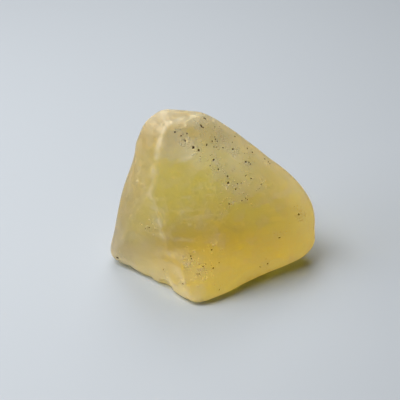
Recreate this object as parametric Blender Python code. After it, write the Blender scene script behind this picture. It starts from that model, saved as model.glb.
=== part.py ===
"""A lump of Libyan desert glass: one piece of clear to milky yellow natural glass, 40 mm long.

The lump is a convex block that desert wind has worn round, with hollow scars where flakes
broke off and small pits where softer specks weathered out. Its surface is worked out as a
reach: how far the glass goes from one middle point inside it, in every direction.

X runs along the lump, from its sharp foot at the left to its round end at the right.
Y runs away from its broad front face, and Z is up. The origin is under its middle, on the
surface that it rests on.
"""

import bmesh
import bpy
import numpy as np
from mathutils import Vector

MM = 0.001

# The block before it was worn, as named corners in millimetres
CORNERS = {
    "head_left_top": (-9.4, 2.3, 32.6),
    "head_right": (-0.9, 3.3, 31.3),
    "head_left_up": (-12.6, 2.8, 29.6),
    "head_left": (-12.8, 3.3, 27.3),
    "head_back": (-5.1, 8.3, 28.3),
    "scar_right": (-3.8, -0.4, 31.4),
    "slope_top": (3.2, 3.6, 28.6),
    "slope_foot": (15.1, 3.3, 17.3),
    "slope_back": (7.9, 9.3, 19.4),
    "shoulder": (19.1, 2.3, 15.3),
    "shoulder_low": (21.2, 1.3, 11.0),
    "right_end": (21.9, 0.3, 7.3),
    "right_end_low": (22.2, -0.7, 3.9),
    "right_heel": (19.2, -1.9, 1.6),
    "flank_right": (17.2, -1.9, 13.4),
    "belly": (5.2, -6.9, 18.6),
    "belly_right": (13.8, -4.2, 14.6),
    "ridge_top": (-8.1, -2.7, 31.4),
    "ridge_high": (-9.5, -5.2, 27.9),
    "ridge_middle": (-10.9, -7.2, 22.0),
    "left_middle": (-17.0, 2.3, 15.4),
    "left_swell": (-16.1, -4.4, 11.4),
    "left_heel": (-20.0, 0.3, 2.3),
    "left_foot": (-19.9, -1.8, 1.2),
    "near_foot_left": (-3.7, -14.5, 0.5),
    "near_foot": (-1.5, -14.8, 0.4),
    "edge_near": (0.2, -13.9, 0.9),
    "end_back": (16.9, 7.3, 8.5),
    "end_back_low": (13.4, 9.3, 2.5),
    "back_left": (-15.1, 8.8, 2.0),
    "back_left_high": (-12.6, 9.3, 18.0),
    "back_middle": (-3.6, 13.8, 3.0),
    "back_right": (7.4, 13.3, 3.0),
    "back_high": (-3.6, 12.8, 19.0),
    "base_near": (-3.6, -8.4, -0.8),
    "base_left": (-12.0, 0.0, -0.8),
    "base_right": (7.6, -2.8, -0.8),
    "base_back_left": (-9.4, 7.0, -0.8),
    "base_back_right": (5.4, 7.0, -0.8),
}
MIDDLE = (-1.0, 0.0, 12.0)  # the point inside the glass that every reach is measured from

# Flake scars: where each is, the way it faces, the radius of the ball that fits it,
# its depth, and how far its rim is rounded, in millimetres
SCARS = {
    "head": ((-5.7, -3.4, 28.7), (0.28, -0.8, 0.53), 7.4, 0.55, 0.18),
    "slope": ((2.5, -1.1, 25.8), (0.52, -0.5, 0.7), 11.4, 0.3, 0.2),
    "slope_edge": ((10.3, 3.0, 22.3), (0.62, -0.15, 0.77), 40.0, 0.45, 0.3),
    "neck": ((-15.0, 2.8, 21.7), (-0.95, -0.15, 0.22), 10.0, 0.55, 0.25),
    "low_left": ((-10.2, -8.9, 2.6), (-0.64, -0.77, 0.0), 45.0, 0.6, 0.2),
    "chip_left": ((-15.9, -4.5, 1.2), (-0.45, -0.6, -0.66), 2.6, 0.45, 0.08),
    "chip_middle": ((-12.1, -7.2, 1.2), (-0.45, -0.6, -0.66), 2.0, 0.45, 0.08),
    "chip_right": ((-8.7, -9.7, 1.2), (-0.5, -0.6, -0.62), 2.4, 0.85, 0.08),
    "chip_tip": ((-5.0, -13.3, 0.9), (-0.1, -0.75, -0.65), 1.8, 0.2, 0.08),
    "edge_right": ((10.6, -7.5, 1.6), (0.45, -0.85, -0.2), 26.0, 0.95, 0.2),
    "back_head": ((-7.0, 10.5, 24.0), (-0.1, 0.9, 0.45), 17.0, 1.3, 0.25),
    "back_low": ((2.0, 13.4, 8.5), (0.15, 1.0, 0.1), 20.0, 1.4, 0.25),
    "back_end": ((13.5, 9.0, 9.0), (0.75, 0.65, 0.25), 15.0, 1.0, 0.3),
}

# Pits of the front face, as seen from in front: across, up, and width, in millimetres
PITS = (
    (-1.5, 30.6, 0.5),
    (-2.2, 29.8, 0.7),
    (-5.1, 28.6, 0.6),
    (-3.0, 27.1, 0.6),
    (0.0, 25.1, 0.6),
    (0.9, 23.6, 0.6),
    (2.7, 21.3, 0.9),
    (4.2, 20.2, 0.6),
    (6.2, 22.8, 0.7),
    (6.0, 21.2, 0.5),
    (3.6, 25.1, 0.6),
    (10.5, 20.8, 0.5),
    (2.9, 18.0, 0.5),
    (16.3, 12.4, 0.6),
    (-11.8, 13.2, 0.5),
    (10.4, 4.0, 0.5),
)
PIT_SINK = 0.25  # how far a pit's ball is raised out of the glass, as a share of its radius

WEAR_LEFT = 0.07  # how widely the wind has rounded the left edges, in radians from the middle
WEAR_RIGHT = 0.20
WEAR_FROM = -6.0  # across, where the wear starts to grow
WEAR_OVER = 20.0  # how far across it takes to reach its full width
WEAR_HEIGHT = 7.0  # below this height the edges stay crisper
WEAR_LOWEST = 0.25  # the share of the wear left at the foot
WAIST_WEAR = 0.10  # more wear half way down the left ridge, in radians
WAIST_HEIGHT = 9.0
WAIST_SPREAD = 4.5
WAIST_RIGHT = 2.0  # across, where that extra wear ends
WAIST_OVER = 6.0  # how far across it takes to fade
WEAR_SAMPLES = 26
EDGE_ROUND = 0.12  # the least rounding of any edge
GRAZE = 0.02  # planes that a direction leans to by less than this are out of its reach
FAR = 1000.0
NEGLIGIBLE = 60.0  # a reach longer by this many roundings has no part in a rounded edge
LEAST_DOWN = 0.001  # the flattest way down that is divided by
CAST_FROM = -100.0  # from where, along Y, the front skin is looked for

# Gentle waves of the worn skin: wavelength, height, and the way each runs
WAVES = (
    (11.0, 0.06, (0.8, 0.3, 0.5)),
    (7.5, 0.04, (-0.4, 0.5, 0.8)),
    (5.2, 0.03, (0.6, -0.7, 0.3)),
    (3.6, 0.02, (0.2, 0.6, -0.8)),
)

BALL_CUTS = 7  # divisions of the starting ball: 81,920 triangles
KEPT_SHARE = 0.099  # of those triangles, after thinning
GOLDEN_TURN = np.pi * (3 - np.sqrt(5))
GOLDEN_SHARE = (np.sqrt(5) - 1) / 2

GLASS_COLOUR = (0.62, 0.52, 0.22, 1.0)
GLASS_ROUGHNESS = 0.45
GLASS_IOR = 1.46
GLASS_TRANSMISSION = 0.9


def clear_scene():
    for thing in list(bpy.data.objects):
        bpy.data.objects.remove(thing, do_unlink=True)


def new_collection(name):
    collection = bpy.data.collections.new(name)
    bpy.context.scene.collection.children.link(collection)
    return collection


def move_to(thing, collection):
    for other in list(thing.users_collection):
        other.objects.unlink(thing)
    collection.objects.link(thing)


def unit(vectors):
    vectors = np.asarray(vectors, float)
    return vectors / np.linalg.norm(vectors, axis=-1, keepdims=True)


def block_planes():
    """Outward normals and distances from the middle of the convex block's faces."""
    block = bmesh.new()
    for corner in CORNERS.values():
        block.verts.new(Vector(corner) - Vector(MIDDLE))
    bmesh.ops.convex_hull(block, input=block.verts)
    normals = np.array([face.normal[:] for face in block.faces])
    distances = np.array([face.normal.dot(face.verts[0].co) for face in block.faces])
    block.free()
    facing = np.sign(distances)
    return normals * facing[:, None], distances * facing


def soft_least(reaches, rounding):
    """The least of the reaches along the last axis, with the change from one to the next rounded."""
    least = reaches.min(axis=-1, keepdims=True)
    past = np.minimum((reaches - least) / rounding, NEGLIGIBLE)
    return least[..., 0] - rounding * np.log(np.exp(-past).sum(axis=-1))


def block_reach(ways, planes):
    """How far each way goes before it meets the nearest face of the block."""
    normals, distances = planes
    lean = ways @ normals.T
    reaches = np.where(lean > GRAZE, distances / np.maximum(lean, GRAZE), FAR)
    return soft_least(reaches, EDGE_ROUND)


def even_spread(count):
    """Points that fill a ball of radius one evenly, wound like the seeds of a sunflower."""
    step = np.arange(count) + 0.5
    height = 1 - 2 * step / count
    turn = step * GOLDEN_TURN
    wide = np.sqrt(1 - height**2)
    far = np.cbrt((step * GOLDEN_SHARE) % 1)
    points = np.stack([wide * np.cos(turn), wide * np.sin(turn), height], axis=-1) * far[:, None]
    return points - points.mean(axis=0)


def worn_reach(ways, planes):
    """The block's reach averaged over a small cone about each way, which rounds its edges."""
    sharp = block_reach(ways, planes)
    across = MIDDLE[0] + ways[:, 0] * sharp
    up = MIDDLE[2] + ways[:, 2] * sharp
    grown = np.clip((across - WEAR_FROM) / WEAR_OVER, 0, 1)
    grown = grown * np.clip(up / WEAR_HEIGHT, WEAR_LOWEST, 1)
    wear = WEAR_LEFT + (WEAR_RIGHT - WEAR_LEFT) * grown
    waist = np.exp(-(((up - WAIST_HEIGHT) / WAIST_SPREAD) ** 2))
    wear = wear + WAIST_WEAR * waist * np.clip((WAIST_RIGHT - across) / WAIST_OVER, 0, 1)
    total = np.zeros(len(ways))
    for nudge in even_spread(WEAR_SAMPLES):
        total += block_reach(unit(ways + wear[:, None] * nudge), planes)
    return total / WEAR_SAMPLES


def ball_reach(ways, centre, radius):
    """How far each way goes before it enters the ball, or very far where it misses it."""
    centre = np.asarray(centre) - MIDDLE
    along = ways @ centre
    inside = along**2 - (centre @ centre - radius**2)
    meets = (inside > 0) & (along > 0)
    return np.where(meets, along - np.sqrt(np.maximum(inside, 0)), FAR)


def wave_height(points):
    """A sum of sine waves, each running its own way over the skin."""
    height = np.zeros(len(points))
    for length, tall, way in WAVES:
        height += tall * np.sin(points @ unit(way) * 2 * np.pi / length)
    return height


def glass_points(ways):
    """Points of the lump's skin in millimetres, with the middle of their box over the origin."""
    reach = worn_reach(ways, block_planes())
    reach = reach + wave_height(MIDDLE + ways * reach[:, None])
    for place, facing, radius, depth, rounding in SCARS.values():
        centre = np.asarray(place) + unit(facing) * (radius - depth)
        hollow = ball_reach(ways, centre, radius)
        reach = soft_least(np.stack([reach, hollow], axis=-1), rounding)
    down = -ways[:, 2]
    floor = np.where(down > 0, MIDDLE[2] / np.maximum(down, LEAST_DOWN), FAR)
    points = MIDDLE + ways * np.minimum(reach, floor)[:, None]
    points[:, :2] -= (points[:, :2].min(axis=0) + points[:, :2].max(axis=0)) / 2
    return points


def glass_material():
    material = bpy.data.materials.new("yellow_desert_glass")
    material.use_nodes = True
    shader = material.node_tree.nodes["Principled BSDF"]
    shader.inputs["Base Color"].default_value = GLASS_COLOUR
    shader.inputs["Roughness"].default_value = GLASS_ROUGHNESS
    shader.inputs["Metallic"].default_value = 0.0
    shader.inputs["IOR"].default_value = GLASS_IOR
    shader.inputs["Transmission Weight"].default_value = GLASS_TRANSMISSION
    return material


def make_lump(collection):
    """A fine ball whose points are moved out to the skin, then thinned where it is smooth."""
    bpy.ops.mesh.primitive_ico_sphere_add(subdivisions=BALL_CUTS, radius=1.0)
    lump = bpy.context.object
    lump.name = "desert_glass"
    mesh = lump.data
    ways = np.empty(len(mesh.vertices) * 3)
    mesh.vertices.foreach_get("co", ways)
    points = glass_points(unit(ways.reshape(-1, 3))) * MM
    mesh.vertices.foreach_set("co", points.ravel())
    mesh.update()
    mesh.materials.append(glass_material())
    move_to(lump, collection)
    thinning = lump.modifiers.new("thinning", "DECIMATE")
    thinning.ratio = KEPT_SHARE
    return lump


def front_point(lump, across, up):
    """The point and the outward normal of the front skin at this place across and up."""
    start = Vector((across, CAST_FROM, up)) * MM
    hit, point, normal, _ = lump.ray_cast(start, Vector((0.0, 1.0, 0.0)))
    if not hit:
        raise ValueError(f"no glass in front at {across}, {up}")
    return point, normal


def make_pit_balls(lump, collection):
    """All the balls that the pits are cut with, as one mesh."""
    bpy.context.view_layer.update()
    balls = bmesh.new()
    for across, up, width in PITS:
        point, normal = front_point(lump, across, up)
        radius = width * MM / 2
        made = bmesh.ops.create_icosphere(balls, subdivisions=2, radius=radius)
        bmesh.ops.translate(balls, verts=made["verts"], vec=point + normal * radius * PIT_SINK)
    mesh = bpy.data.meshes.new("pit_balls")
    balls.to_mesh(mesh)
    balls.free()
    cutter = bpy.data.objects.new("pit_balls", mesh)
    collection.objects.link(cutter)
    cutter.hide_render = True
    cutter.display_type = "WIRE"
    return cutter


def cut_pits(lump, cutter):
    cut = lump.modifiers.new("pits", "BOOLEAN")
    cut.operation = "DIFFERENCE"
    cut.solver = "EXACT"
    cut.object = cutter


def main():
    clear_scene()
    lump = make_lump(new_collection("libyan_desert_glass"))
    cut_pits(lump, make_pit_balls(lump, new_collection("cutters")))


main()
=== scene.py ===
# %% [markdown]
# # A lump of Libyan desert glass
# This natural glass is almost pure silica that melted and cooled in one piece. Desert wind
# has frosted its skin and rounded its edges, flakes have broken off and left shallow hollow
# scars, and softer specks have weathered out as small dark pits. The script loads the solid
# model of the lump, makes a finer skin over the same form, and gives it a glass material.

# %% Load the solid model
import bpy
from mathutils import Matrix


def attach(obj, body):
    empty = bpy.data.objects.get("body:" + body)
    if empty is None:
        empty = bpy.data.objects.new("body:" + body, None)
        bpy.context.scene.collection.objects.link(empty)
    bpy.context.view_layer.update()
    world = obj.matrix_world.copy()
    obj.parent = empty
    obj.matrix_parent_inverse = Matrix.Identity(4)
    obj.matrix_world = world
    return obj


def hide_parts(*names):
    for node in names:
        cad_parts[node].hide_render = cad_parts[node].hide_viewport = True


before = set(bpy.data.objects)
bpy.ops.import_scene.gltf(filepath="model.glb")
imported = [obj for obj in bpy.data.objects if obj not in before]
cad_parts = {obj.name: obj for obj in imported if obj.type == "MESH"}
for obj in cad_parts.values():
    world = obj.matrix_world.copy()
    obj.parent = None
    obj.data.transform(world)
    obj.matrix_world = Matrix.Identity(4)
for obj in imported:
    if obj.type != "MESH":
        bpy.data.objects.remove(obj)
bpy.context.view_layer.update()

# %% [markdown]
# ## Modules and units
# Blender works in metres. A lump this small is easier to think of in millimetres, so its
# sizes and places below are in millimetres, and its points turn to metres once, at the end.

# %% Modules and units
import math

import bmesh
import bpy
import numpy as np
from mathutils import Vector

MM = 0.001
NODE = "desert_glass"

# %% [markdown]
# ## The block
# A lump like this could be sculpted by hand, or made from noise on a ball. Noise never
# gives broad flat faces, so the form starts as a convex block with named corners, in
# millimetres. X runs along the lump, Y away from its front face, and Z is up.

# %% Corners of the block
CORNERS = {
    "head_left_top": (-9.4, 2.3, 32.6),
    "head_right": (-0.9, 3.3, 31.3),
    "head_left_up": (-12.6, 2.8, 29.6),
    "head_left": (-12.8, 3.3, 27.3),
    "head_back": (-5.1, 8.3, 28.3),
    "scar_right": (-3.8, -0.4, 31.4),
    "slope_top": (3.2, 3.6, 28.6),
    "slope_foot": (15.1, 3.3, 17.3),
    "slope_back": (7.9, 9.3, 19.4),
    "shoulder": (19.1, 2.3, 15.3),
    "shoulder_low": (21.2, 1.3, 11.0),
    "right_end": (21.9, 0.3, 7.3),
    "right_end_low": (22.2, -0.7, 3.9),
    "right_heel": (19.2, -1.9, 1.6),
    "flank_right": (17.2, -1.9, 13.4),
    "belly": (5.2, -6.9, 18.6),
    "belly_right": (13.8, -4.2, 14.6),
    "ridge_top": (-8.1, -2.7, 31.4),
    "ridge_high": (-9.5, -5.2, 27.9),
    "ridge_middle": (-10.9, -7.2, 22.0),
    "left_middle": (-17.0, 2.3, 15.4),
    "left_swell": (-16.1, -4.4, 11.4),
    "left_heel": (-20.0, 0.3, 2.3),
    "left_foot": (-19.9, -1.8, 1.2),
    "near_foot_left": (-3.7, -14.5, 0.5),
    "near_foot": (-1.5, -14.8, 0.4),
    "edge_near": (0.2, -13.9, 0.9),
    "end_back": (16.9, 7.3, 8.5),
    "end_back_low": (13.4, 9.3, 2.5),
    "back_left": (-15.1, 8.8, 2.0),
    "back_left_high": (-12.6, 9.3, 18.0),
    "back_middle": (-3.6, 13.8, 3.0),
    "back_right": (7.4, 13.3, 3.0),
    "back_high": (-3.6, 12.8, 19.0),
    "base_near": (-3.6, -8.4, -0.8),
    "base_left": (-12.0, 0.0, -0.8),
    "base_right": (7.6, -2.8, -0.8),
    "base_back_left": (-9.4, 7.0, -0.8),
    "base_back_right": (5.4, 7.0, -0.8),
}
MIDDLE = np.array([-1.0, 0.0, 12.0])  # a point inside the lump, from which every way starts


def block_planes():
    """Outward normals and distances from the middle of the faces of the corners' convex hull."""
    block = bmesh.new()
    for corner in CORNERS.values():
        block.verts.new(Vector(corner) - Vector(MIDDLE))
    bmesh.ops.convex_hull(block, input=block.verts)
    normals = np.array([face.normal[:] for face in block.faces])
    distances = np.array([face.normal.dot(face.verts[0].co) for face in block.faces])
    block.free()
    facing = np.sign(distances)
    return normals * facing[:, None], distances * facing


PLANES = block_planes()
print("faces of the block:", len(PLANES[1]))

# %% [markdown]
# ## From block to worn stone
# Blown sand rounds a stone's edges, more where it strikes hardest. A Bevel modifier would
# round all of them alike. Here the skin is a reach: how far the glass goes from the middle
# in each direction. The reach of the sharp block is the least of its distances to the
# planes. Averaging it over a small cone of directions rounds the edges: little where the
# cone is narrow, at the left, and much where it is wide, at the right end.

# %% Reach of the sharp block
EDGE_ROUND = 0.12  # the least rounding of any edge
NEGLIGIBLE = 60.0  # a reach longer by this many roundings has no part in a rounded edge
GRAZE = 0.02  # a plane seen at a flatter angle than this is passed over
FAR = 1000.0
UP = np.array([[0.0, 0.0, 1.0]])


def unit(vectors):
    """Each vector divided by its length."""
    vectors = np.asarray(vectors, float)
    return vectors / np.linalg.norm(vectors, axis=-1, keepdims=True)


def soft_least(reaches, rounding):
    """least - rounding * ln(sum of exp(-(reach - least) / rounding)), along the last axis."""
    least = reaches.min(axis=-1, keepdims=True)
    past = np.minimum((reaches - least) / rounding, NEGLIGIBLE)
    return least[..., 0] - rounding * np.log(np.exp(-past).sum(axis=-1))


def block_reach(ways):
    """Soft least, over the planes, of distance / (way . normal)."""
    normals, distances = PLANES
    lean = ways @ normals.T
    reaches = np.where(lean > GRAZE, distances / np.maximum(lean, GRAZE), FAR)
    return soft_least(reaches, EDGE_ROUND)


print("sharp block, reach straight up:", block_reach(UP).round(2))

# %% Reach of the worn block
WEAR_LEFT, WEAR_RIGHT = 0.07, 0.20  # how wide the cone of directions is, in radians
WEAR_FROM, WEAR_OVER = -6.0, 20.0  # across, where the wear starts to grow, and over how far
WEAR_HEIGHT, WEAR_LOWEST = 7.0, 0.25  # below this height it shrinks, down to this share
WAIST_WEAR, WAIST_HEIGHT, WAIST_SPREAD = 0.10, 9.0, 4.5  # the left ridge half way down
WAIST_RIGHT, WAIST_OVER = 2.0, 6.0  # across, where that extra wear ends, and over how far
WEAR_SAMPLES = 26  # directions in the cone
GOLDEN_TURN = np.pi * (3 - np.sqrt(5))
GOLDEN_SHARE = (np.sqrt(5) - 1) / 2


def even_spread(count):
    """Sunflower spiral in a ball: height falls evenly, the turn grows by the golden angle.

    The distance out is the cube root of a golden share, and the mean is taken off.
    """
    step = np.arange(count) + 0.5
    height = 1 - 2 * step / count
    turn = step * GOLDEN_TURN
    wide = np.sqrt(1 - height**2)
    far = np.cbrt((step * GOLDEN_SHARE) % 1)
    points = np.stack([wide * np.cos(turn), wide * np.sin(turn), height], axis=-1) * far[:, None]
    return points - points.mean(axis=0)


def worn_reach(ways):
    """Mean of the block's reach over directions spread by the wear about each way."""
    sharp = block_reach(ways)
    across = MIDDLE[0] + ways[:, 0] * sharp
    up = MIDDLE[2] + ways[:, 2] * sharp
    grown = np.clip((across - WEAR_FROM) / WEAR_OVER, 0, 1)
    grown = grown * np.clip(up / WEAR_HEIGHT, WEAR_LOWEST, 1)
    wear = WEAR_LEFT + (WEAR_RIGHT - WEAR_LEFT) * grown
    waist = np.exp(-(((up - WAIST_HEIGHT) / WAIST_SPREAD) ** 2))
    wear = wear + WAIST_WEAR * waist * np.clip((WAIST_RIGHT - across) / WAIST_OVER, 0, 1)
    total = np.zeros(len(ways))
    for nudge in even_spread(WEAR_SAMPLES):
        total += block_reach(unit(ways + wear[:, None] * nudge))
    return total / WEAR_SAMPLES


print("worn block, reach straight up:", worn_reach(UP).round(2))

# %% [markdown]
# ## Flake scars and waves
# Glass breaks in shell-like hollows. They could be sculpted or cut with Boolean balls. Here
# each scar is where a large ball shortens the reach, and the same soft least rounds its
# rim. A fresher scar is milkier, and sine waves make the edge of its milk ragged. On the low
# left face and at the lower right edge that milk is painted glow, for light that comes through
# the glass. A few long low waves keep the broad faces from looking machined.

# %% Scars and waves
# place, way it faces, radius of the ball, depth, rounding of the rim, milkiness
SCARS = {
    "head": ((-5.7, -3.4, 28.7), (0.28, -0.8, 0.53), 17.0, 0.24, 0.35, 0.62),
    "slope": ((2.5, -1.1, 25.8), (0.52, -0.5, 0.7), 15.0, 0.22, 0.2, 0.25),
    "slope_edge": ((10.3, 3.0, 22.3), (0.62, -0.15, 0.77), 40.0, 0.45, 0.3, 0.3),
    "neck": ((-15.0, 2.8, 21.7), (-0.95, -0.15, 0.22), 10.0, 0.55, 0.25, 0.0),
    # its milk is painted glow of the thin low left face
    "low_left": ((-10.2, -8.9, 2.6), (-0.64, -0.77, 0.0), 45.0, 0.6, 0.2, 0.15),
    "chip_left": ((-15.9, -4.5, 1.2), (-0.45, -0.6, -0.66), 2.6, 0.45, 0.08, 0.0),
    "chip_middle": ((-12.1, -7.2, 1.2), (-0.45, -0.6, -0.66), 2.0, 0.45, 0.08, 0.0),
    "chip_right": ((-8.7, -9.7, 1.2), (-0.5, -0.6, -0.62), 2.4, 0.85, 0.08, 0.0),
    "chip_tip": ((-5.0, -13.3, 0.9), (-0.1, -0.75, -0.65), 1.8, 0.2, 0.08, 0.0),
    # its milk is painted glow of the lower right rim, where light comes out of the glass
    "edge_right": ((10.6, -7.5, 1.6), (0.45, -0.85, -0.2), 26.0, 0.95, 0.2, 0.45),
    "back_head": ((-7.0, 10.5, 24.0), (-0.1, 0.9, 0.45), 17.0, 1.3, 0.25, 0.3),
    "back_low": ((2.0, 13.4, 8.5), (0.15, 1.0, 0.1), 20.0, 1.4, 0.25, 0.0),
    "back_end": ((13.5, 9.0, 9.0), (0.75, 0.65, 0.25), 15.0, 1.0, 0.3, 0.0),
}
WAVES = (  # wavelength, height, and the way each runs
    (11.0, 0.06, (0.8, 0.3, 0.5)),
    (7.5, 0.04, (-0.4, 0.5, 0.8)),
    (5.2, 0.03, (0.6, -0.7, 0.3)),
    (3.6, 0.02, (0.2, 0.6, -0.8)),
)

MILK_FROM, MILK_FULL = -0.6, 1.0  # below the worn skin, in depths of the scar
RAGGED = 0.22  # how far the edge of the milk strays, in depths of the scar
RAGGED_WAYS = (  # wavelength and the way each runs
    (4.6, (0.9, 0.1, 0.5)),
    (3.1, (-0.5, 0.3, 0.8)),
    (2.1, (0.7, 0.2, -0.7)),
)


def rise(values, low, high):
    """Smooth step: 3t^2 - 2t^3, where t runs from 0 at low to 1 at high."""
    t = np.clip((values - low) / (high - low), 0, 1)
    return t * t * (3 - 2 * t)


def raggedness(points):
    """Sum of RAGGED * sin(2 pi * (point . way) / wavelength)."""
    uneven = np.zeros(len(points))
    for length, way in RAGGED_WAYS:
        uneven += RAGGED * np.sin(points @ unit(way) * 2 * np.pi / length)
    return uneven


def ball_reach(ways, centre, radius):
    """along - sqrt(along^2 - (distance^2 - radius^2)), where along is way . centre."""
    centre = np.asarray(centre) - MIDDLE
    along = ways @ centre
    inside = along**2 - (centre @ centre - radius**2)
    meets = (inside > 0) & (along > 0)
    return np.where(meets, along - np.sqrt(np.maximum(inside, 0)), FAR)


def wave_height(points):
    """Sum of height * sin(2 pi * (point . way) / wavelength)."""
    height = np.zeros(len(points))
    for length, tall, way in WAVES:
        height += tall * np.sin(points @ unit(way) * 2 * np.pi / length)
    return height


LEAST_DOWN = 0.001  # the flattest way down that is divided by


def skin_reach(ways):
    """The worn block with its waves, then the least of that, every scar's ball and the base.

    The second value is how milky the fresh scars make the skin; on the low left face and at the
    lower right edge that milk is painted glow.
    """
    reach = worn_reach(ways)
    reach = reach + wave_height(MIDDLE + ways * reach[:, None])
    uneven = raggedness(MIDDLE + ways * reach[:, None])
    scar_milk_and_glow = np.zeros(len(ways))
    for place, facing, radius, depth, rounding, milk_and_glow_share in SCARS.values():
        centre = np.asarray(place) + unit(facing) * (radius - depth)
        hollow = ball_reach(ways, centre, radius)
        taken = (reach - hollow) / depth + uneven
        scar_milk_and_glow = np.maximum(scar_milk_and_glow, milk_and_glow_share * rise(taken, MILK_FROM, MILK_FULL))
        reach = soft_least(np.stack([reach, hollow], axis=-1), rounding)
    down = -ways[:, 2]
    base = np.where(down > 0, MIDDLE[2] / np.maximum(down, LEAST_DOWN), FAR)
    return np.minimum(reach, base), scar_milk_and_glow


print("with waves and scars, reach straight up:", skin_reach(UP)[0].round(2))

# %% [markdown]
# ## A grid over the whole lump
# A ball of rings has poles where faces crowd. Six square patches, the sides of a cube
# blown up to a ball, cover it evenly. Each patch is a function of two parameters, and their
# shared borders are the same lattice points, so the seams close exactly.

# %% Six patches of lattice points
ACROSS = 126  # squares along each patch: 6 * 126 * 126 * 2 = 190,512 triangles


def patch(side, u, v):
    """The cube's side turned so that u and v run over it and the third number stays at its face."""
    axis, high = side // 2, side % 2
    third = np.full_like(u, ACROSS * high)
    order = [third, u, v] if high else [third, v, u]
    return np.stack(np.roll(order, axis, axis=0), axis=-1)


def lattice():
    """Cube points and quads of all six patches, with the borders merged."""
    u, v = np.meshgrid(np.arange(ACROSS + 1), np.arange(ACROSS + 1), indexing="ij")
    points = np.concatenate([patch(side, u, v).reshape(-1, 3) for side in range(6)])
    corner = np.arange(points.shape[0]).reshape(6, ACROSS + 1, ACROSS + 1)
    quads = np.stack(
        [corner[:, :-1, :-1], corner[:, 1:, :-1], corner[:, 1:, 1:], corner[:, :-1, 1:]], axis=-1
    )
    points, where = np.unique(points, axis=0, return_inverse=True)
    return points, where.reshape(-1)[quads.reshape(-1, 4)]


CUBE, QUADS = lattice()
WAYS = unit(np.tan((CUBE / ACROSS - 0.5) * np.pi / 2))
print("points:", len(CUBE), "triangles:", 2 * len(QUADS))

# %% [markdown]
# ## Pits
# Softer specks in the glass weather out and leave pits. Their brown floors are painted shade,
# for the shade that a deep pit casts into itself, and the pale crumbs about them are partly
# painted glints. They could be bump alone, but a pit that is seen from the side needs real
# depth. Each is placed as it is seen from in front, by its distance across and up.
# The grid is too coarse for a hole of half a millimetre, so its lines are first drawn in
# towards every pit, and then the points inside are pushed down along a smooth cup.

# %% Pits, as across, up, width and depth
PITS = np.array([
    (-1.1, 30.7, 0.3, 0.3),
    (-1.8, 30.2, 0.39, 0.45),
    (-4.7, 28.8, 0.33, 0.3),
    (-3.2, 27.6, 0.26, 0.25),
    (-2.3, 27.1, 0.33, 0.3),
    (-0.8, 27.5, 0.2, 0.2),
    (0.4, 25.3, 0.36, 0.35),
    (1.3, 23.8, 0.33, 0.35),
    (3.0, 22.4, 0.3, 0.3),
    (3.1, 21.5, 0.49, 0.5),
    (4.5, 20.3, 0.33, 0.35),
    (4.8, 20.9, 0.26, 0.25),
    (5.5, 20.8, 0.23, 0.25),
    (6.4, 23.1, 0.36, 0.35),
    (7.0, 22.8, 0.26, 0.3),
    (6.4, 21.4, 0.3, 0.3),
    (7.4, 20.7, 0.23, 0.2),
    (9.3, 19.3, 0.26, 0.3),
    (4.0, 25.3, 0.33, 0.3),
    (4.4, 26.6, 0.23, 0.25),
    (10.9, 21.0, 0.26, 0.3),
    (6.6, 18.3, 0.23, 0.2),
    (3.3, 18.2, 0.3, 0.3),
    (16.7, 12.4, 0.33, 0.35),
    (12.9, 9.2, 0.23, 0.2),
    (10.8, 4.0, 0.26, 0.25),
    (-11.4, 13.2, 0.26, 0.3),
    (-8.9, 4.5, 0.23, 0.25),
    (-18.1, 2.3, 0.26, 0.25),
    (0.1, 10.4, 0.23, 0.2),
    (-3.7, 9.5, 0.23, 0.2),
    (0.4, 7.0, 0.23, 0.2),
    (1.6, 2.6, 0.2, 0.2),
    (-5.2, 4.0, 0.2, 0.2),
])
GLINT_CRUMBS = np.array([  # pale flecks alone, as across and up: painted glints
    (1.3, 28.4),
    (0.9, 27.2),
    (2.9, 26.3),
    (4.4, 24.8),
    (7.3, 23.8),
    (-4.0, 8.0),
    (-1.6, 6.6),
])
CUP_POWER = 1.2
PIT_SHADE_FROM, PIT_SHADE_STEEP = 0.45, 2.5  # painted shade starts this far down the cup, and how fast it darkens
FLECKS_WIDE = 1.2  # how far tiny flecks spread about a pit
FLECKS_FULL = 0.42  # width of the narrowest pit that has all its flecks
GATHER = 0.6  # how strongly the grid is drawn in
GATHER_WIDE = 1.6  # how far that goes, in widths of the pit
NEAREST, FARTHEST = -25.0, 4.0  # the span of depths searched for the front skin
HALVINGS = 24


def front_ways(across, up):
    """Halve the span of depths until the point across, depth, up lies on the skin."""
    near = np.full(len(across), NEAREST)
    far = np.full(len(across), FARTHEST)
    for _ in range(HALVINGS):
        depth = (near + far) / 2
        away = np.stack([across, depth, up], axis=-1) - MIDDLE
        outside = np.linalg.norm(away, axis=-1) > skin_reach(unit(away))[0]
        near = np.where(outside, depth, near)
        far = np.where(outside, far, depth)
    return unit(away)


def gathered(ways, centres, widths):
    """way + GATHER * exp(-(angle / spread)^2) * (centre - way), for each pit in turn."""
    for centre, width in zip(centres, widths):
        spread = GATHER_WIDE * width
        away = centre - ways
        pull = GATHER * np.exp(-((away**2).sum(axis=-1) / spread**2))
        ways = ways + pull[:, None] * away
    return unit(ways)


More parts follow.
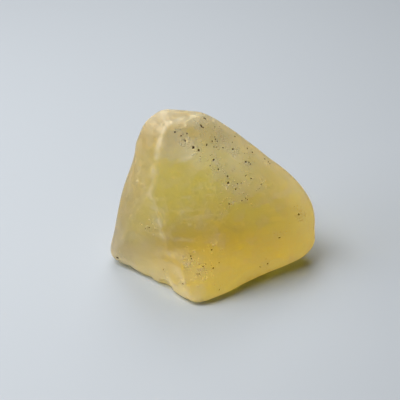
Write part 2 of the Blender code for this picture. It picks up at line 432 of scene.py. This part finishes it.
def pit_cups(ways, reach, centres, glint_crumbs):
    """Depth times (1 - (distance / radius)^2)^CUP_POWER inside each pit, and two masks.

    Pit shade, the painted shade on a pit's floor, is 1 over the floor of a cup. Flecked is
    e^(-(distance / FLECKS_WIDE)^2) about each pit, times (width / FLECKS_FULL)^2 about a narrow
    one, and about each glint crumb.
    """
    sunk = np.zeros(len(ways))
    pit_shade = np.zeros(len(ways))
    flecked = np.zeros(len(ways))
    for centre, (_, _, width, depth) in zip(centres, PITS):
        far = np.linalg.norm(centre - ways, axis=-1) * reach
        cup = np.maximum(1 - (far / (width / 2)) ** 2, 0)
        sunk = np.maximum(sunk, depth * cup**CUP_POWER)
        pit_shade = np.maximum(pit_shade, np.clip((cup - PIT_SHADE_FROM) * PIT_SHADE_STEEP, 0, 1))
        amount = min(1, (width / FLECKS_FULL) ** 2)
        flecked = np.maximum(flecked, np.exp(-((far / FLECKS_WIDE) ** 2)) * amount)
    for glint_crumb in glint_crumbs:
        far = np.linalg.norm(glint_crumb - ways, axis=-1) * reach
        flecked = np.maximum(flecked, np.exp(-((far / FLECKS_WIDE) ** 2)))
    return sunk, pit_shade, flecked


print("pits:", len(PITS), "of", PITS[:, 2].min(), "to", PITS[:, 2].max(), "mm")

# %% [markdown]
# ## Pale worn lines and painted highlights
# Blown sand has scuffed the sharpest crests white: the long ridge at the left and the rims of
# the hollow on the head. The pale lines along the foot, one on the slope and a few short bright
# glints are painted highlights, where light catches the crests and comes out at the lower rim.
# They could be painted by hand. Here each is a line given, like the pits, by places seen
# from in front. The skin stands a little proud along it, and its paleness is kept.

# %% Lines, as half width, paleness, height, and places across and up
LINES = {
    "ridge": (0.5, 0.15, 0.03, (
        (-8.6, 30.4), (-9.3, 28.0), (-9.8, 25.9), (-10.4, 23.8), (-11.0, 21.6), (-11.2, 20.2),
        (-10.3, 18.6), (-9.6, 16.4), (-9.1, 14.2), (-8.8, 11.8))),
    "ridge_crest": (0.17, 0.22, 0.02, (
        (-8.8, 29.6), (-9.5, 27.0), (-10.0, 24.9), (-10.5, 23.0), (-11.3, 20.6), (-10.9, 19.0))),
    "ridge_foot": (0.7, 0.12, 0.0, ((-8.8, 11.8), (-8.1, 9.3), (-7.0, 7.2), (-5.7, 6.2))),
    "left_branch": (0.16, 0.4, 0.03, ((-13.6, 20.1), (-12.2, 20.6), (-11.2, 20.6))),
    "head_right": (0.16, 0.8, 0.06, (
        (-2.6, 31.4), (-3.8, 31.5), (-4.3, 31.3), (-4.9, 30.8), (-5.6, 29.8), (-6.0, 28.8))),
    "cap_left": (0.15, 0.25, 0.04, ((-7.1, 31.7), (-8.1, 31.5), (-8.6, 30.4))),
    "cap_edge": (0.15, 0.2, 0.03, ((-8.5, 31.1), (-7.2, 31.4), (-5.8, 31.2))),
    "hollow_foot": (0.35, 0.3, 0.0, (
        (-8.2, 27.2), (-7.3, 26.4), (-5.9, 25.9), (-4.5, 26.2), (-3.8, 26.5))),
    # painted highlight along the crest of the slope
    "slope": (0.16, 0.5, 0.03, ((1.3, 28.6), (2.0, 27.3), (2.1, 25.7), (3.9, 25.5))),
    "wisp_low": (0.2, 0.25, 0.0, ((-8.2, 12.5), (-7.3, 13.3), (-6.4, 14.1))),
    "wisp_left": (0.2, 0.25, 0.0, ((-5.6, 15.3), (-4.5, 15.5), (-3.5, 15.2))),
    "wisp_high": (0.25, 0.25, 0.0, ((-2.0, 21.7), (-0.6, 21.2), (0.8, 21.3))),
    # painted highlights along the lower rims, where light comes out of the glass
    "foot_right": (0.7, 0.3, 0.0, ((4.6, 0.9), (7.4, 0.9), (10.2, 1.2), (13.1, 1.7), (15.6, 2.5))),
    "foot_left": (0.3, 0.4, 0.0, (
        (-18.6, 2.4), (-15.3, 1.9), (-11.5, 1.8), (-8.1, 1.6), (-5.3, 1.6), (-2.7, 1.3))),
    # painted highlights: short glints on the crests
    "glint_neck": (0.15, 1.0, 0.04, ((-12.7, 26.6), (-12.7, 26.2))),
    "glint_cap": (0.15, 0.9, 0.04, ((-7.4, 31.6), (-7.0, 31.6))),
    "glint_rim": (0.15, 0.9, 0.04, ((-8.9, 31.2), (-8.7, 31.0))),
    "glint_slope": (0.16, 0.7, 0.03, ((4.3, 24.9), (4.5, 24.7))),
    "glint_far": (0.16, 0.7, 0.03, ((7.2, 23.9), (7.4, 23.7))),
    "glint_foot": (0.16, 0.9, 0.0, ((-3.0, 1.7), (-2.6, 1.7))),
}
LINE_GATHER = 0.5  # how strongly the grid is drawn in to a line
LINE_SPREAD = 0.04  # radians about the middle, so about 0.8 mm on the skin
WOBBLE = 0.2  # millimetres that a line strays to each side
WOBBLE_WAYS = np.array([(2.9, 1.7, 3.3), (-2.3, 3.7, 1.9), (3.1, -2.6, 2.2)])  # radians per mm


def nearest_on_line(spots, corners):
    """The nearest place to each spot on the straight stretches between the corners, and how far."""
    place = np.repeat(corners[:1], len(spots), axis=0)
    far = np.full(len(spots), FAR)
    for start, end in zip(corners[:-1], corners[1:]):
        run = end - start
        share = np.clip((spots - start) @ run / (run @ run), 0, 1)
        here = start + share[:, None] * run
        away = np.linalg.norm(spots - here, axis=-1)
        place = np.where((away < far)[:, None], here, place)
        far = np.minimum(far, away)
    return place, far


def drawn_to_lines(ways):
    """way + LINE_GATHER * e^(-(angle / LINE_SPREAD)^2) * (nearest place of the line - way)."""
    for corners in LINE_WAYS.values():
        place, far = nearest_on_line(ways, corners)
        pull = LINE_GATHER * np.exp(-((far / LINE_SPREAD) ** 2))
        ways = ways + pull[:, None] * (place - ways)
    return unit(ways)


def wear_and_highlight_lines(spots):
    """The most, over the lines, of paleness and of height times e^(-(distance / width)^2).

    The spots are first moved by WOBBLE * sin(ways . spot), so that no line runs quite straight.
    """
    spots = spots + WOBBLE * np.sin(spots @ WOBBLE_WAYS.T)
    pale = np.zeros(len(spots))
    tall = np.zeros(len(spots))
    for name, (width, paleness, height, _) in LINES.items():
        corners = MIDDLE + LINE_WAYS[name] * skin_reach(LINE_WAYS[name])[0][:, None]
        bell = np.exp(-((nearest_on_line(spots, corners)[1] / width) ** 2))
        pale = np.maximum(pale, paleness * bell)
        tall = np.maximum(tall, height * bell)
    return pale, tall


LINE_WAYS = {name: front_ways(*np.array(line[3]).T) for name, line in LINES.items()}
print("worn lines and glints:", len(LINES))

# %% Pits and lines worked into the skin
pit_ways = front_ways(PITS[:, 0], PITS[:, 1])
pit_reach = skin_reach(pit_ways)[0]
ways = gathered(drawn_to_lines(WAYS), pit_ways, PITS[:, 2] / pit_reach)
reach, scar_milk_and_glow = skin_reach(ways)
sunk, pit_shade, flecked = pit_cups(ways, reach, pit_ways, front_ways(GLINT_CRUMBS[:, 0], GLINT_CRUMBS[:, 1]))
wear_and_highlight, tall = wear_and_highlight_lines(MIDDLE + ways * reach[:, None])
points = MIDDLE + ways * (reach - sunk + tall)[:, None]
box_middle = np.append((points[:, :2].min(axis=0) + points[:, :2].max(axis=0)) / 2, 0)
points = points - box_middle
print("size in millimetres:", np.ptp(points, axis=0).round(2))

# %% [markdown]
# ## Worn ridges
# Sand strikes the ridges hardest, so they are the palest part of a frosted skin. They could
# be painted, but how sharp a place is can be measured: on a ridge a point stands above the
# mean of its neighbours. So the paleness follows the shape when a corner is moved.

# %% How far each point stands above its neighbours
EDGES = np.concatenate([QUADS[:, [0, 1]], QUADS[:, [1, 2]], QUADS[:, [2, 3]], QUADS[:, [3, 0]]])
MEETING = np.bincount(EDGES.ravel(), minlength=len(points))
RIDGE_SPREAD, RIDGE_SMOOTH = 6, 2  # rounds of averaging, for the neighbours and for the result
RIDGE_TALL = 0.09  # millimetres that a sharp ridge stands above its neighbours' mean


def neighbour_mean(values):
    """Sum over the edges that meet at a point, divided by their number."""
    start, end = EDGES.T
    total = np.bincount(start, values[end], len(values)) + np.bincount(end, values[start], len(values))
    return total / MEETING


def ridge_share(points, ways):
    """(point - mean of neighbours) . way, smoothed, as a share of a sharp ridge's value."""
    mean = points.T
    for _ in range(RIDGE_SPREAD):
        mean = np.array([neighbour_mean(axis) for axis in mean])
    stands = ((points - mean.T) * ways).sum(axis=-1)
    for _ in range(RIDGE_SMOOTH):
        stands = neighbour_mean(stands)
    return np.clip(stands / RIDGE_TALL, 0, 1)


ridge = ridge_share(points, ways)
print("share of the skin on ridges:", round(float((ridge > 0.5).mean()), 3))

# %% [markdown]
# ## Where the skin is milky, and painted light
# The skin is milkiest in the fresh scar on the head. A little milk on what faces up is painted
# light, for the light that falls on the top. Where little glass lies behind the skin, near the
# foot and the ends, the yellow is weaker; the paler surface there and low on the foot is
# painted glow, for light that comes through the glass. A noise alone would put the milk
# anywhere, so it is worked out from the shape. The number kept for each point runs from 0,
# clear, to 1.

# %% How milky each point is, and its painted light
# painted light: milk on skin that faces up, for the light that falls on the top
PAINTED_TOP_LIGHT = 0.34
ABOVE_LEAN = (0.3, 0.7)  # height of the unit normal, where the painted top light starts and is full
ABOVE_HEIGHT = (14, 27)  # the same for the height of the place
ABOVE_ACROSS = (-9, -1)  # and for how far across it is
ABOVE_LEAST = 0.3  # the share of it at the left of the head
# painted glow: milk where little glass lies behind the skin, for light that shines through
PAINTED_THIN_GLOW = 0.05
THIN, THICK = 7.0, 20.0  # glass behind the skin, where it counts as thin and as thick
# painted glow: milk low down, for light that comes out at the lower rim
PAINTED_FOOT_GLOW = 0.21
LOW, LOW_END = 3.0, 12.0  # the height where the painted glow of the foot is strongest, and where it ends
UNDER_LEAN = (0.3, 0.7)  # how far the unit normal points down, where soil starts and is full
INWARD_WAYS = 14  # directions in which the glass behind a point is measured
INWARD_CONE = 0.7  # how far they spread


def facings(points):
    """Unit normals: the cross product of each quad's diagonals, summed at its corners."""
    corner = points[QUADS]
    across = np.cross(corner[:, 2] - corner[:, 0], corner[:, 3] - corner[:, 1])
    total = [np.bincount(QUADS.ravel(), np.repeat(axis, 4), len(points)) for axis in across.T]
    return unit(np.array(total).T)


def glass_behind(points, facing):
    """Distance to the block's nearest plane ahead, meaned over a cone of inward ways."""
    normals, distances = PLANES
    room = np.maximum(distances - (points + box_middle - MIDDLE) @ normals.T, 0)
    total = np.zeros(len(points))
    for nudge in even_spread(INWARD_WAYS):
        lean = unit(INWARD_CONE * nudge - facing) @ normals.T
        total += np.where(lean > GRAZE, room / np.maximum(lean, GRAZE), FAR).min(axis=-1)
    return total / INWARD_WAYS


def milk_and_painted_light(points):
    """The most of: a scar's milk, and painted light on what faces up, on thin glass and at the foot.

    The second value is how far the skin faces down, where soil from the ground clings.
    """
    facing = facings(points)
    above = PAINTED_TOP_LIGHT * rise(facing[:, 2], *ABOVE_LEAN) * rise(points[:, 2], *ABOVE_HEIGHT)
    above = above * (ABOVE_LEAST + (1 - ABOVE_LEAST) * rise(points[:, 0], *ABOVE_ACROSS))
    behind = glass_behind(points, facing)
    print("glass behind the skin:", behind.min().round(1), "to", behind.max().round(1), "mm")
    thin = PAINTED_THIN_GLOW * (1 - rise(behind, THIN, THICK))
    low = PAINTED_FOOT_GLOW * (1 - rise(points[:, 2], LOW, LOW_END))
    return np.maximum.reduce([scar_milk_and_glow, above, thin, low]), rise(-facing[:, 2], *UNDER_LEAN)


milk_and_glow, under = milk_and_painted_light(points)
print("mean milkiness:", round(float(milk_and_glow.mean()), 3))

# %% [markdown]
# ## The skin as a mesh
# The points and quads become one closed mesh, which stands for the plain solid. What was
# worked out for each point is kept on the mesh as an attribute, so that the material can
# follow the surface. A painted picture would need a flat map of the lump, and has seams.

# %% The finished skin
def make_skin():
    """The grid as one closed mesh, with a number for each point under six names."""
    mesh = bpy.data.meshes.new("glass_skin")
    mesh.from_pydata((points * MM).tolist(), [], QUADS.tolist())
    mesh.update()
    kept = {"pit_shade": pit_shade, "flecked": flecked, "milk_and_glow": milk_and_glow, "ridge": ridge, "wear_and_highlight": wear_and_highlight,
            "under": under}
    for name, values in kept.items():
        mesh.attributes.new(name, "FLOAT", "POINT").data.foreach_set("value", values.astype(np.float32))
    mesh.shade_smooth()
    skin = bpy.data.objects.new("glass_skin", mesh)
    bpy.context.scene.collection.objects.link(skin)
    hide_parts(NODE)
    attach(skin, "root")
    return skin


skin = make_skin()
print("skin:", len(skin.data.polygons), "quads with", len(skin.data.attributes), "attributes")

# %% [markdown]
# ## The glass
# Real desert glass is see-through but blurred, because blown sand has frosted its skin. A
# clear glass shader alone looks like a sweet. So the shader is mostly rough transmission,
# which takes its yellow from the depth of glass that light crosses, and partly plain pale
# scattering, more of it where the skin is milky.

# %% Colours and nodes
def linear(code):
    """sRGB hex to linear light: v / 12.92 below 0.04045, else ((v + 0.055) / 1.055)^2.4."""
    srgb = [int(code[i:i + 2], 16) / 255 for i in (0, 2, 4)]
    return tuple(v / 12.92 if v <= 0.04045 else ((v + 0.055) / 1.055) ** 2.4 for v in srgb) + (1.0,)


def node(tree, kind, settings=None, **links):
    """Add a node, set its properties, and fill its inputs with values or links.

    A name such as From_Min is the input From Min, and a name such as _1 is its number.
    """
    made = tree.nodes.new(kind)
    for name, value in (settings or {}).items():
        setattr(made, name, value)
    for name, value in links.items():
        socket = made.inputs[int(name[1:])] if name[0] == "_" else made.inputs[name.replace("_", " ")]
        if isinstance(value, bpy.types.NodeSocket):
            tree.links.new(value, socket)
        else:
            socket.default_value = value
    return made


def new_material(name):
    """A material with an empty node tree, and the tree."""
    material = bpy.data.materials.new(name)
    material.use_nodes = True
    material.node_tree.nodes.clear()
    return material, material.node_tree


CREAM = linear("FFF2C8")
print("cream in linear light:", [round(v, 3) for v in CREAM[:3]])

# %% [markdown]
# ## Flecks
# Pale crumbs and dark brown specks lie about the pits, each a third of a millimetre wide or
# less. The pale ones are partly painted glints, where tiny facets catch the light. Modelled
# one by one they would cost more faces than the lump.
# A Voronoi pattern gives each small cell a distance from its middle, which makes a dot, and
# random colours, which choose the cells that have one.

# %% Flecks about the pits
SPECK = MM / 2.9  # one cell, 0.345 mm; a pattern's scale is 1 over its cells' size in metres
DOT_EDGE, DOT_CORE = 0.5, 0.3  # radius of a dot where it starts and where it is full, in cells
DARK_SHARE = 0.035  # the share of dots that are dark


def flecks(tree, place, flecked):
    """Dots where a cell's random red is below flecked: all of them, the dark and the pale ones."""
    cells = node(tree, "ShaderNodeTexVoronoi", Vector=place, Scale=1 / SPECK)
    chance = node(tree, "ShaderNodeSeparateColor", Color=cells.outputs["Color"])
    dot = node(tree, "ShaderNodeMapRange", Value=cells.outputs["Distance"],
               From_Min=DOT_EDGE, From_Max=DOT_CORE)
    chosen = node(tree, "ShaderNodeMath", {"operation": "LESS_THAN"},
                  _0=chance.outputs["Red"], _1=flecked)
    fleck = node(tree, "ShaderNodeMath", {"operation": "MULTIPLY"},
                 _0=dot.outputs[0], _1=chosen.outputs[0])
    dark_chosen = node(tree, "ShaderNodeMath", {"operation": "LESS_THAN"},
                 _0=chance.outputs["Green"], _1=DARK_SHARE)
    dark = node(tree, "ShaderNodeMath", {"operation": "MULTIPLY"},
                _0=fleck.outputs[0], _1=dark_chosen.outputs[0])
    pale = node(tree, "ShaderNodeMath", {"operation": "SUBTRACT"},
                _0=fleck.outputs[0], _1=dark.outputs[0])
    return fleck.outputs[0], dark.outputs[0], pale.outputs[0]


print("dots of soil and crumbs up to", round(2 * DOT_EDGE * SPECK / MM, 2), "mm wide")

# %% [markdown]
# ## Milk in the glass
# Fine bubbles make clouds and level wisps, drawn out as the melt flowed, and the frosting
# is thicker in some places than in others. Both look milky, so they are added to the milk
# that the mesh keeps. The thin left end and the back are calmer than the front.

# %% How milky the glass looks
CLOUD = MM / 0.42  # size of the clouds, 2.38 mm
# A noise value from From_Min to From_Max adds milk from To_Min to To_Max
CLOUDS = {"From_Min": 0.3, "From_Max": 0.7, "To_Min": -0.2, "To_Max": 0.28}
WISP_LONG, WISP_THIN = MM / 0.16, MM / 1.1  # 6.25 mm and 0.91 mm
WISPS = {"From_Min": 0.5, "From_Max": 0.7, "To_Max": 0.22}
GRAIN = MM / 1.8  # 0.56 mm: sand leaves grains of 0.05 mm, which are drawn as coarse as can show
GRAIN_MILK = 0.6
LESS_MILK = 0.3  # what the grain adds on average, taken off again
LEFT_CALM = {"From_Min": -12 * MM, "From_Max": -7 * MM, "To_Min": 0.35, "To_Max": 1.0}
BACK_CALM = {"From_Min": 0.0, "From_Max": 8 * MM, "To_Min": 1.0, "To_Max": 0.45}
SCUFFS = {"From_Min": 0.38, "From_Max": 0.6, "To_Min": 0.3, "To_Max": 1.3}  # breaks up the lines
RIDGE_MILK = 0.12


def worn_milk_and_light(tree, mottle, kept):
    """Milk and painted glow of the mesh + RIDGE_MILK * ridge + worn and highlight line * a scuff
    that follows the mottle.
    """
    scuff = node(tree, "ShaderNodeMapRange", Value=mottle, **SCUFFS)
    broken_lines = node(tree, "ShaderNodeMath", {"operation": "MULTIPLY"},
                   _0=kept["wear_and_highlight"], _1=scuff.outputs[0])
    worn_and_lit = node(tree, "ShaderNodeMath", {"operation": "MULTIPLY_ADD"},
                _0=kept["ridge"], _1=RIDGE_MILK, _2=broken_lines.outputs[0])
    return node(tree, "ShaderNodeMath", {"operation": "ADD"}, _0=kept["milk_and_glow"], _1=worn_and_lit.outputs[0])


def cloudy_milk(tree, place, mottle, grain):
    """(clouds + wisps + GRAIN_MILK * grain - LESS_MILK) * left calm * back calm."""
    drawn = node(tree, "ShaderNodeMapping", Vector=place,
                 Scale=(1 / WISP_LONG, 1 / WISP_LONG, 1 / WISP_THIN))
    wisp = node(tree, "ShaderNodeTexNoise", Vector=drawn.outputs[0], Scale=1.0, Detail=3.0)
    clouds = node(tree, "ShaderNodeMapRange", Value=mottle, **CLOUDS)
    wisps = node(tree, "ShaderNodeMapRange", Value=wisp.outputs["Fac"], **WISPS)
    both = node(tree, "ShaderNodeMath", {"operation": "ADD"},
                _0=clouds.outputs[0], _1=wisps.outputs[0])
    sanded = node(tree, "ShaderNodeMath", {"operation": "MULTIPLY_ADD"},
                  _0=grain, _1=GRAIN_MILK, _2=both.outputs[0])
    level = node(tree, "ShaderNodeMath", {"operation": "SUBTRACT"},
                 _0=sanded.outputs[0], _1=LESS_MILK)
    along = node(tree, "ShaderNodeSeparateXYZ", Vector=place)
    left = node(tree, "ShaderNodeMapRange", Value=along.outputs["X"], **LEFT_CALM)
    back = node(tree, "ShaderNodeMapRange", Value=along.outputs["Y"], **BACK_CALM)
    calm = node(tree, "ShaderNodeMath", {"operation": "MULTIPLY"},
                _0=left.outputs[0], _1=back.outputs[0])
    return node(tree, "ShaderNodeMath", {"operation": "MULTIPLY"},
                _0=level.outputs[0], _1=calm.outputs[0])


def milk_and_light_share(tree, place, mottle, grain, kept):
    """Worn milk with painted glow and highlights + cloudy milk, kept between 0 and 1."""
    worn_and_lit = worn_milk_and_light(tree, mottle, kept)
    cloudy = cloudy_milk(tree, place, mottle, grain)
    return node(tree, "ShaderNodeMath", {"operation": "ADD", "use_clamp": True},
                _0=worn_and_lit.outputs[0], _1=cloudy.outputs[0]).outputs[0]


print("clouds", round(CLOUD / MM, 2), "mm, wisps", round(WISP_LONG / MM, 2), "by",
      round(WISP_THIN / MM, 2), "mm, grain", round(GRAIN / MM, 2), "mm")

# %% [markdown]
# ## Colour of the skin and how clear it is
# Its skin is almost white, and cream where it is milky, and the underside is dulled by pale
# ground. The cream on what faces up is painted light, on thin glass and at the foot painted
# glow; the pale crumbs are partly painted glints, and the brown of the pit floors is painted
# shade. The dark specks are brown too. Where a fleck or the brown covers the glass, light is
# scattered and doesn't pass.

# %% Colour and clearness
FROST = linear("FFFDF4")
GROUND = linear("E8DDAC")  # dry pale sand that clings to the underside
# pale crumbs, partly painted glints where tiny facets catch the light
CRUMB_AND_GLINT = linear("FFF6D2")
# painted shade in the pit floors, and the colour of the dark specks
PIT_SHADE_AND_SPECK_BROWN = linear("4A3208")
SPECK_DARKNESS = 0.6  # how thickly a dark speck covers the glass, beside 1 in a pit
BROWN_STEEP = 8.0  # the pit shade and dark specks are fully brown from an eighth of their full amount on
CLEAR, CLOUDED = 0.95, 0.3  # the share of light that passes clear and milky skin
UNDER_COVER = 0.35
CRUMB_AND_GLINT_COVER = 0.85


def skin_colour(tree, milk_and_glow_share, under, pale_fleck, pit_shade_and_specks):
    """Frost to cream by milk and painted glow, then ground, pale crumbs and glints, and the brown
    of painted pit shade and dark specks over that, each by its own share.
    """
    frosted = node(tree, "ShaderNodeMix", {"data_type": "RGBA"}, _0=milk_and_glow_share, _6=FROST, _7=CREAM)
    earthy = node(tree, "ShaderNodeMix", {"data_type": "RGBA"},
                  _0=under, _6=frosted.outputs[2], _7=GROUND)
    crumbs_and_glints = node(tree, "ShaderNodeMix", {"data_type": "RGBA"},
                   _0=pale_fleck, _6=earthy.outputs[2], _7=CRUMB_AND_GLINT)
    browned = node(tree, "ShaderNodeMath", {"operation": "MULTIPLY", "use_clamp": True},
                   _0=pit_shade_and_specks, _1=BROWN_STEEP)
    return node(tree, "ShaderNodeMix", {"data_type": "RGBA"},
                _0=browned.outputs[0], _6=crumbs_and_glints.outputs[2], _7=PIT_SHADE_AND_SPECK_BROWN).outputs[2]


def clear_share(tree, milk_and_glow_share, under, pale_fleck, pit_shade_and_specks):
    """CLEAR to CLOUDED by milk and painted glow, less UNDER_COVER * under, CRUMB_AND_GLINT_COVER *
    pale crumb and glint, and painted pit shade and dark specks.
    """
    clear = node(tree, "ShaderNodeMapRange", Value=milk_and_glow_share, To_Min=CLEAR, To_Max=CLOUDED)
    dust_pit_shade_and_specks = node(tree, "ShaderNodeMath", {"operation": "MULTIPLY_ADD"},
                 _0=under, _1=UNDER_COVER, _2=pit_shade_and_specks)
    covered = node(tree, "ShaderNodeMath", {"operation": "MULTIPLY_ADD"},
                   _0=pale_fleck, _1=CRUMB_AND_GLINT_COVER, _2=dust_pit_shade_and_specks.outputs[0])
    return node(tree, "ShaderNodeMath", {"operation": "SUBTRACT", "use_clamp": True},
                _0=clear.outputs[0], _1=covered.outputs[0]).outputs[0]


print("light through clear skin:", CLEAR, "through milky skin:", CLOUDED)

# %% [markdown]
# ## Frosted relief and the shader
# Blown sand leaves dimples, a fine grain, and crumbs that stand up. They are too fine for
# the mesh, so three bump nodes tilt the surface, each on top of the last. The finish is a
# soft sheen with no mirror image, and a yellow that deepens with thickness.

# %% Relief
DIMPLE = MM / 0.48  # 2.08 mm
DIMPLE_BUMP = {"Strength": 0.22, "Distance": 0.3 * MM}
GRAIN_BUMP = {"Strength": 0.4, "Distance": 0.1 * MM}
CRUMB_BUMP = {"Strength": 0.9, "Distance": 0.3 * MM}


def frosted_normal(tree, place, grain, fleck):
    """The surface's normal, tilted by dimples, then by grain, then by flecks."""
    dimple = node(tree, "ShaderNodeTexNoise", Vector=place, Scale=1 / DIMPLE, Detail=3.0,
                  Roughness=0.55)
    dimpled = node(tree, "ShaderNodeBump", Height=dimple.outputs["Fac"], **DIMPLE_BUMP)
    grained = node(tree, "ShaderNodeBump", Height=grain, Normal=dimpled.outputs["Normal"],
                   **GRAIN_BUMP)
    return node(tree, "ShaderNodeBump", Height=fleck, Normal=grained.outputs["Normal"],
                **CRUMB_BUMP).outputs["Normal"]


# %% Frosted desert glass
BLASTED = {"From_Min": -5 * MM, "From_Max": 16 * MM, "To_Min": 0.6, "To_Max": 0.72}  # rougher right end
SILICA_IOR = 1.46
SHEEN_LEVEL = 0.3  # weaker than polished glass, because soil and grain break the gloss
DEEP_YELLOW = (0.972, 0.924, 0.44, 1.0)
DEPTH_DENSITY = 172.0  # light falls by e^-((1 - colour) * density) in each metre of glass


def desert_glass():
    """Frosted silica glass: yellow by absorption, milky from bubbles, rough from blown sand.

    Part of its milk is painted glow and highlights, and the brown in its pits is painted shade.
    """
    material, tree = new_material("frosted_desert_glass")
    place = node(tree, "ShaderNodeTexCoord").outputs["Object"]
    kept = {
        name: node(tree, "ShaderNodeAttribute", {"attribute_name": name}).outputs["Fac"]
        for name in ("pit_shade", "flecked", "milk_and_glow", "ridge", "wear_and_highlight", "under")
    }
    mottle = node(tree, "ShaderNodeTexNoise", Vector=place, Scale=1 / CLOUD, Detail=5.0,
                  Roughness=0.65).outputs["Fac"]
    grain = node(tree, "ShaderNodeTexNoise", Vector=place, Scale=1 / GRAIN, Detail=4.0,
                 Roughness=0.6).outputs["Fac"]
    fleck, dark_fleck, pale_fleck = flecks(tree, place, kept["flecked"])
    milk_and_glow_share = milk_and_light_share(tree, place, mottle, grain, kept)
    # the brown of dark specks, and painted shade in the pit floors
    speck = node(tree, "ShaderNodeMath", {"operation": "MULTIPLY"}, _0=dark_fleck, _1=SPECK_DARKNESS)
    pit_shade_and_specks = node(tree, "ShaderNodeMath", {"operation": "MAXIMUM"},
                _0=speck.outputs[0], _1=kept["pit_shade"]).outputs[0]
    along = node(tree, "ShaderNodeSeparateXYZ", Vector=place)
    blasted = node(tree, "ShaderNodeMapRange", Value=along.outputs["X"], **BLASTED)
    shader = node(tree, "ShaderNodeBsdfPrincipled", IOR=SILICA_IOR, Specular_IOR_Level=SHEEN_LEVEL,
                  Roughness=blasted.outputs[0],
                  Base_Color=skin_colour(tree, milk_and_glow_share, kept["under"], pale_fleck, pit_shade_and_specks),
                  Transmission_Weight=clear_share(tree, milk_and_glow_share, kept["under"], pale_fleck, pit_shade_and_specks),
                  Normal=frosted_normal(tree, place, grain, fleck))
    depth = node(tree, "ShaderNodeVolumeAbsorption", Density=DEPTH_DENSITY, Color=DEEP_YELLOW)
    node(tree, "ShaderNodeOutputMaterial", Surface=shader.outputs["BSDF"], Volume=depth.outputs["Volume"])
    return material


skin.data.materials.append(desert_glass())
print("nodes of the glass:", len(skin.data.materials[0].node_tree.nodes))

# %% [markdown]
# ## Floor
# The lump stands on plain matt paper, with a hair of air under it, because two surfaces in
# one place would flicker and keep the light out.

# %% Floor
FLOOR_HALF = 2.0  # metres
FLOOR_GAP = 0.05 * MM
SQUARE = ((-1, -1), (1, -1), (1, 1), (-1, 1))


def make_floor():
    """A level square, large enough to fill the view."""
    mesh = bpy.data.meshes.new("floor")
    corners = [(x * FLOOR_HALF, y * FLOOR_HALF, -FLOOR_GAP) for x, y in SQUARE]
    mesh.from_pydata(corners, [], [(0, 1, 2, 3)])
    floor = bpy.data.objects.new("floor", mesh)
    bpy.context.scene.collection.objects.link(floor)
    material, tree = new_material("matt_paper")
    shader = node(tree, "ShaderNodeBsdfPrincipled", Roughness=0.6, Base_Color=linear("B7BDC3"))
    node(tree, "ShaderNodeOutputMaterial", Surface=shader.outputs["BSDF"])
    mesh.materials.append(material)
    return floor


print("floor:", tuple(make_floor().dimensions))

# %% [markdown]
# ## Light
# Four soft square lights stand for windows: one high above the lump's left, one beside it,
# one lower at the left and one high behind. So light passes down through the glass,
# brightens its lower rim, and leaves a short dark shadow under its near edges. A single
# small lamp would leave hard shadows, and dark glass where no light comes through.

# %% Light
LUMP_HEART = (0, 0, 0.01)
LIGHTS = {  # place in metres, side in metres, watts
    "window": ((-0.14, -0.02, 0.33), 0.2, 0.9),
    "side_window": ((-0.26, 0.02, 0.23), 0.2, 0.36),
    "low_window": ((-0.34, -0.10, 0.12), 0.16, 0.38),
    "far_window": ((0.0, 0.18, 0.30), 0.2, 0.54),
}


def area_light(name, place, side, watts):
    """A square soft light at a place, turned to face the lump's heart."""
    data = bpy.data.lights.new(name, "AREA")
    data.size = side
    data.energy = watts
    light = bpy.data.objects.new(name, data)
    light.location = place
    towards = Vector(LUMP_HEART) - Vector(place)
    light.rotation_euler = towards.to_track_quat("-Z", "Y").to_euler()
    bpy.context.scene.collection.objects.link(light)


for name, (place, side, watts) in LIGHTS.items():
    area_light(name, place, side, watts)
bpy.context.scene.view_settings.view_transform = "Standard"
print("watts in all:", round(sum(light[2] for light in LIGHTS.values()), 2))

# %% [markdown]
# ## Camera
# The view is down on the broad front face, from about a third of the way up to straight
# above. A long lens from near by keeps the lump's proportions.

# %% Camera
LENS = 85.0
CAMERA_HEIGHT = math.radians(35.0)
CAMERA_FAR = 0.178  # metres from the target
TARGET = Vector((-2.42, -0.86, 14.75)) * MM
CLIP_START = 0.005


def make_camera():
    """On a circle about the target, raised by the height angle, looking along +Y and down."""
    data = bpy.data.cameras.new("camera")
    data.lens = LENS
    data.clip_start = CLIP_START
    camera = bpy.data.objects.new("camera", data)
    back = Vector((0, -math.cos(CAMERA_HEIGHT), math.sin(CAMERA_HEIGHT)))
    camera.location = TARGET + back * CAMERA_FAR
    camera.rotation_euler = (math.pi / 2 - CAMERA_HEIGHT, 0, 0)
    bpy.context.scene.collection.objects.link(camera)
    bpy.context.scene.camera = camera
    return camera


print("camera at:", [round(v, 4) for v in make_camera().location])
